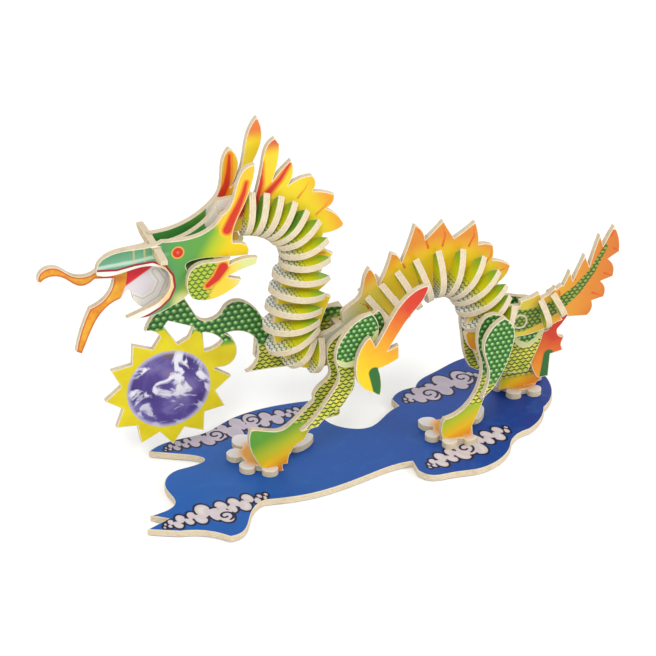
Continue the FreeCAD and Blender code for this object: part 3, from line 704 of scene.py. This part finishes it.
frill_print, ink = finish_of("frill_print")
across = ink.length("X")
upward = ink.length("Y")
rim = scale_rows(ink, across, upward, 2.7, 1.8)[0]
ground = ink.mix(dye(190, 204, 60), dye(78, 118, 38), rim.rise(0.45, 0.2))
pale = ink.mix(dye(250, 214, 60), dye(226, 232, 150), across.rise(-64.0, -56.0))
ground = ink.mix(ground, pale, (across + upward.rise(108.0, 98.0) * 5.0).rise(-69.0, -66.0))
ember = ink.noted("ember")
ground = ink.mix(ground, dye(246, 160, 30), ember.rise(1.2, 0.4))
ground = ink.mix(ground, dye(212, 42, 26), ember.rise(0.4, -0.4))
paper_print(ink, ground)
for node in ("near_cheek_frill", "far_cheek_frill"):
    frill, sheet = cut_plate(node, ACROSS_X, UP, spacing=0.7)
    note(frill, "ember", tapering_gap(sheet, [(-73, 103.5), (-69, 106.5), (-66, 111)], 1.1, 2.2))
    fit_out(frill, node, frill_print)

# Bars
# Plain strips of the same plywood, not printed, pushed through the plates to tie them together.
# The brow bar rests across the snout, and the others are hidden between the legs and in the cheeks.
bare_wood, ink = finish_of("bare_wood")
vector = ink.place()
along_grain = ink.node("ShaderNodeVectorMath", {"operation": "MULTIPLY"}, {0: vector, 1: (0.12, 1.6, 1.0)})
grain = ink.cloudy(along_grain, 1.2, 6.0, 0.6)
wood = grain.ramp((0.28, dye(176, 150, 112)), (0.5, dye(206, 186, 150)), (0.75, dye(222, 206, 174)))
soiled = ink.mix(wood, dye(150, 132, 104), ink.noted("edge_gap").rise(0.5, 0.0) * 0.5)
lacquered(ink, soiled, 0.55 + 0.25 * grain, grain, 0.00025, 0.0)
for node in ("brow_bar", "cheek_bar", "front_bar", "rear_bar"):
    strip = cut_plate(node, ACROSS_Y, UP, spacing=1.0)[0]
    fit_out(strip, node, bare_wood)

# Arm and sun
# One plate: a raised arm printed with dark green beads whose claws run into a yellow pointed sun.
# The round picture on the sun is a generic cloudy planet, printed on the same paper.
SUN_MIDDLE = (-86.0, 43.0)
SUN_REACH = 30        # the whole plate is yellow within this distance of the middle
PICTURE_RADIUS = 19.2
CLAW_SPLIT = -78      # on the sun's side of this the claws turn yellow sharply, on the other slowly
CLAW_END = -53.4      # beyond this the arm stays green


def beads(ink, across, upward, size):
    """Round beads in staggered rows, each lit on its upper side: the bead colour and its relief."""
    level = upward / (0.86 * size)
    offset = ink.maths("FLOORED_MODULO", ink.maths("FLOOR", level), 2.0) * 0.5
    aside = ink.maths("FRACT", across / size + offset) - 0.5
    above = ink.maths("FRACT", level) - 0.5
    round_gap = ink.maths("SQRT", aside * aside + above * above)
    lit_gap = ink.maths("SQRT", (aside + 0.08) * (aside + 0.08) + (above - 0.12) * (above - 0.12))
    colour = round_gap.ramp((0.10, dye(124, 184, 84)), (0.32, dye(76, 146, 60)), (0.50, dye(38, 92, 38)))
    colour = ink.mix(colour, dye(204, 234, 160), lit_gap.rise(0.28, 0.04))
    return colour, round_gap.rise(0.5, 0.2)


def marked_scales(ink, across, upward):
    """Yellow-green skin with rows of olive scale marks: the colour and its relief."""
    rim, down = scale_rows(ink, across, upward, 2.9, 1.8)
    skin = ink.cloudy(ink.place(), 0.16, 2.0).ramp((0.35, dye(190, 206, 60)), (0.6, dye(236, 230, 84)))
    mark = rim.rise(0.5, 0.2) * down.rise(-0.1, 0.4)
    return ink.mix(skin, dye(70, 88, 30), mark), mark * -0.4


arm, sheet = cut_plate("sun_arm", ACROSS_X, UP, spacing=0.8)
from_middle = np.hypot(sheet[:, 0] - SUN_MIDDLE[0], sheet[:, 1] - SUN_MIDDLE[1])
level = np.where(sheet[:, 0] < CLAW_SPLIT, 73.5, 63.0)
softness = np.where(sheet[:, 0] < CLAW_SPLIT, 0.8, 4.0)
claws = np.clip((level - sheet[:, 1]) / softness, 0, 1) * (sheet[:, 0] < CLAW_END)
note(arm, "yellow", np.where(from_middle < SUN_REACH, 1.0, claws))
note(arm, "picture", from_middle)
arm_print, ink = finish_of("arm_print")
vector = ink.place()
across = ink.length("X")
upward = ink.length("Y")
colour, height = beads(ink, across, upward, 3.1)
scaly = marked_scales(ink, across, upward)[0]
scaly_side = (upward - across * 0.25).rise(70.0, 66.0)
ground = ink.mix(colour, scaly, scaly_side)
ground = ink.mix(ground, dye(130, 178, 40), ink.noted("yellow").rise(0.0, 0.45))
sunny = ink.cloudy(vector, 0.1).ramp((0.3, dye(226, 204, 10)), (0.7, dye(240, 222, 26)))
ground = ink.mix(ground, sunny, ink.noted("yellow").rise(0.35, 0.95))
swirl = ink.cloudy(vector, 0.075, 6.0, 1.8)
planet = ink.cloudy(vector, 0.05, 5.0, 0.6).ramp(
    (0.34, dye(66, 46, 118)), (0.50, dye(88, 72, 146)), (0.60, dye(116, 104, 168)),
    (0.70, dye(150, 122, 112)))
land = upward.rise(52.0, 60.0) * ink.cloudy(vector, 0.14, 5.0).rise(0.5, 0.6)
planet = ink.mix(planet, dye(120, 92, 84), land * 0.8)
planet = ink.mix(planet, dye(242, 240, 250), swirl.rise(0.50, 0.60) * (1 - 0.45 * upward.rise(48.0, 30.0)))
picture = ink.noted("picture")
planet = ink.mix(planet, dye(206, 200, 226), picture.rise(16.8, 19.0) * 0.75)
ground = ink.mix(ground, planet, picture.rise(PICTURE_RADIUS + 0.25, PICTURE_RADIUS - 0.25))
paper_print(ink, ground, relief=height * (1 - ink.noted("yellow")) * (1 - scaly_side) * 0.5)
fit_out(arm, "sun_arm", arm_print)

thigh_print, ink = finish_of("thigh_print")
across = ink.length("X")
upward = ink.length("Y")
colour, height = beads(ink, across, upward, 2.9)
paper_print(ink, colour, relief=height * 0.5)
cover = cut_plate("arm_cover", ACROSS_X, UP, spacing=0.9)[0]
fit_out(cover, "arm_cover", thigh_print)

# Legs
# Each leg is a plate that stands on a tenon through paw and base, with a second plate over thigh and shin.
# Thighs carry dark green beads, shins yellow-green scales, and the feet run from green to orange.


def leg_print(name, thigh_level, foot_level, foot_run):
    """A leg's print: beads above thigh_level, scales below it, a plain foot below foot_level."""
    finish, ink = finish_of(name)
    across = ink.length("X")
    upward = ink.length("Y")
    beaded, bead_height = beads(ink, across, upward, 2.7)
    scaly, scale_height = marked_scales(ink, across, upward)
    high = upward.rise(thigh_level - 3.0, thigh_level + 3.0)
    ground = ink.mix(scaly, beaded, high)
    foot = ((upward - (across - foot_run) * 0.45) / 26).ramp(
        (0.18, dye(240, 140, 30)), (0.42, dye(246, 196, 30)), (0.66, dye(190, 200, 40)),
        (0.95, dye(98, 166, 52)))
    bare = upward.rise(foot_level + 1.2, foot_level - 1.2)
    ground = ink.mix(ground, foot, bare)
    paper_print(ink, ground, relief=(bead_height * high + scale_height * (1 - high)) * (1 - bare) * 0.5)
    return finish


foreleg_finish = leg_print("foreleg_print", 66.0, 26.5, -40.0)
hindleg_finish = leg_print("hindleg_print", 36.0, 22.0, 46.0)
far_leg_finish = leg_print("far_leg_print", 38.0, 12.0, 90.0)
for node, finish in (("near_foreleg", foreleg_finish), ("near_foreleg_cover", foreleg_finish),
                     ("near_hindleg", hindleg_finish), ("near_hindleg_cover", hindleg_finish),
                     ("far_hindleg", far_leg_finish), ("far_hindleg_cover", far_leg_finish)):
    leg = cut_plate(node, ACROSS_X, UP, spacing=0.9)[0]
    fit_out(leg, node, finish)

cap_bands = {
    "near_foreleg_cap": [(-19, 60.5), (-14, 58), (-8, 59), (-3, 63.5), (1, 72)],
    "far_hindleg_cap": [(78, 42), (82, 36.5), (87, 34), (92, 36.5), (96, 42)],
}
cap_print, ink = finish_of("cap_print")
across = ink.length("X")
upward = ink.length("Y")
colour, height = beads(ink, across, upward, 2.6)
band = ink.noted("band").rise(2.2, 1.8)
ground = ink.mix(colour, dye(214, 218, 150), band)
paper_print(ink, ground, relief=height * (1 - band) * 0.5)
for node, path in cap_bands.items():
    cap, sheet = cut_plate(node, ACROSS_X, UP, spacing=0.8)
    note(cap, "band", gap_to_path(sheet, path))
    fit_out(cap, node, cap_print)

# Flames
# Flame-shaped plates pushed on outside the near foreleg and the far hind leg.
# The print runs from a red tip through orange to a yellow body, with a dark green heel.

# each flame: its red tip, the stroke of its green heel, and how far the colours run from the tip
flames = {
    "near_foreleg_flame": ((23, 93), [(-2, 54.5), (0.5, 44)], 58.0),
    "far_hindleg_flame": ((112, 45), [(102.5, 23), (101, 11)], 66.0),
}
flame_print, ink = finish_of("flame_print")
burning = (ink.noted("run") + (ink.cloudy(ink.place(), 0.2, 2.0) - 0.5) * 0.12).ramp(
    (0.0, dye(214, 42, 34)), (0.22, dye(222, 66, 34)), (0.42, dye(238, 132, 34)),
    (0.62, dye(247, 178, 28)), (0.85, dye(246, 214, 24)))
ground = ink.mix(burning, dye(44, 110, 48), ink.noted("heel").rise(0.3, -0.3))
paper_print(ink, ground)
for node, (tip, heel, length) in flames.items():
    flame, sheet = cut_plate(node, ACROSS_X, UP, spacing=0.8)
    note(flame, "run", np.hypot(*(sheet - np.array(tip)).T) / length)
    note(flame, "heel", tapering_gap(sheet, heel, 2.6, 2.6))
    fit_out(flame, node, flame_print)

# Paws
# Flat plates that lie on the base under each foot, pinned there by the leg's tenon.
# The palm is printed orange and yellow, and the claws fade to a pinkish white.
paws = {"near_forepaw": ((-43.5, 3), 12), "near_hindpaw": ((46, -5), 10.5), "far_hindpaw": ((91.5, 26), 10)}
paw_print, ink = finish_of("paw_print")
spread = ink.noted("spread") + (ink.cloudy(ink.place(), 0.3, 2.0) - 0.5) * 0.15
ground = (spread * 0.6).ramp(
    (0.25, dye(232, 190, 60)), (0.50, dye(240, 160, 50)), (0.62, dye(240, 200, 160)),
    (0.72, dye(238, 226, 222)), (0.9, dye(240, 236, 236)))
paper_print(ink, ground)
for node, (middle, palm) in paws.items():
    paw, sheet = cut_plate(node, ACROSS_X, ACROSS_Y, spacing=0.8)
    note(paw, "spread", np.hypot(*(sheet - np.array(middle)).T) / palm)
    fit_out(paw, node, paw_print)

# Studio
# A plain pale floor that runs out of sight under an even white surround, with two soft square lights
# on the near side: the key from the left and a slightly weaker fill from the right.
FLOOR_REACH = 4.0       # metres each way
FLOOR_LEVEL = -0.0004   # just under the base, so that the two never touch
floor_mesh = bpy.data.meshes.new("floor")
floor_corners = [(side_x * FLOOR_REACH, side_y * FLOOR_REACH, FLOOR_LEVEL)
                 for side_x, side_y in ((-1, -1), (1, -1), (1, 1), (-1, 1))]
floor_mesh.from_pydata(floor_corners, [], [(0, 1, 2, 3)])
floor = bpy.data.objects.new("floor", floor_mesh)
bpy.context.scene.collection.objects.link(floor)
floor_paint, ink = finish_of("floor_paint")
where = ink.node("ShaderNodeTexCoord", {}, {}, "Object")
pale = ink.cloudy(where, 6.0, 3.0).ramp((0.3, (0.95, 0.95, 0.95, 1)), (0.7, (0.97, 0.97, 0.97, 1)))
surface = ink.node("ShaderNodeBsdfPrincipled", {}, {"Base Color": pale, "Roughness": 0.9}, "BSDF")
ink.node("ShaderNodeOutputMaterial", {}, {"Surface": surface})
floor_mesh.materials.append(floor_paint)

world = bpy.data.worlds.new("studio")
bpy.context.scene.world = world
world.use_nodes = True
world.node_tree.nodes["Background"].inputs["Color"].default_value = (1.0, 1.0, 1.0, 1.0)
world.node_tree.nodes["Background"].inputs["Strength"].default_value = 0.96


def lamp(name, place, aim, size, power):
    """A square soft light that points at aim."""
    light = bpy.data.lights.new(name, "AREA")
    light.size = size
    light.energy = power
    holder = bpy.data.objects.new(name, light)
    bpy.context.scene.collection.objects.link(holder)
    holder.location = place
    holder.rotation_euler = (Vector(aim) - Vector(place)).to_track_quat("-Z", "Y").to_euler()


LIT_SPOT = (0, 0, 0.05)
lamp("key", (-0.45, -0.85, 0.95), LIT_SPOT, 0.3, 6.0)
lamp("fill", (0.9, -0.6, 0.7), LIT_SPOT, 0.35, 5.0)

# Camera
# It looks a little down on the near side from the front left.
turn = math.radians(-19.5)
tilt = math.radians(28.5)
distance = 0.889
aim = Vector((-0.015, 0.0, 0.0667))
back_way = Vector((math.sin(turn) * math.cos(tilt), -math.cos(turn) * math.cos(tilt), math.sin(tilt)))
camera = bpy.data.cameras.new("camera")
camera.sensor_width = 36.0
camera.lens = 109.8
eye = bpy.data.objects.new("camera", camera)
bpy.context.scene.collection.objects.link(eye)
eye.location = aim + distance * back_way
eye.rotation_mode = "QUATERNION"
eye.rotation_quaternion = (-back_way).to_track_quat("-Z", "Y")
bpy.context.scene.camera = eye
bpy.context.scene.view_settings.view_transform = "Standard"
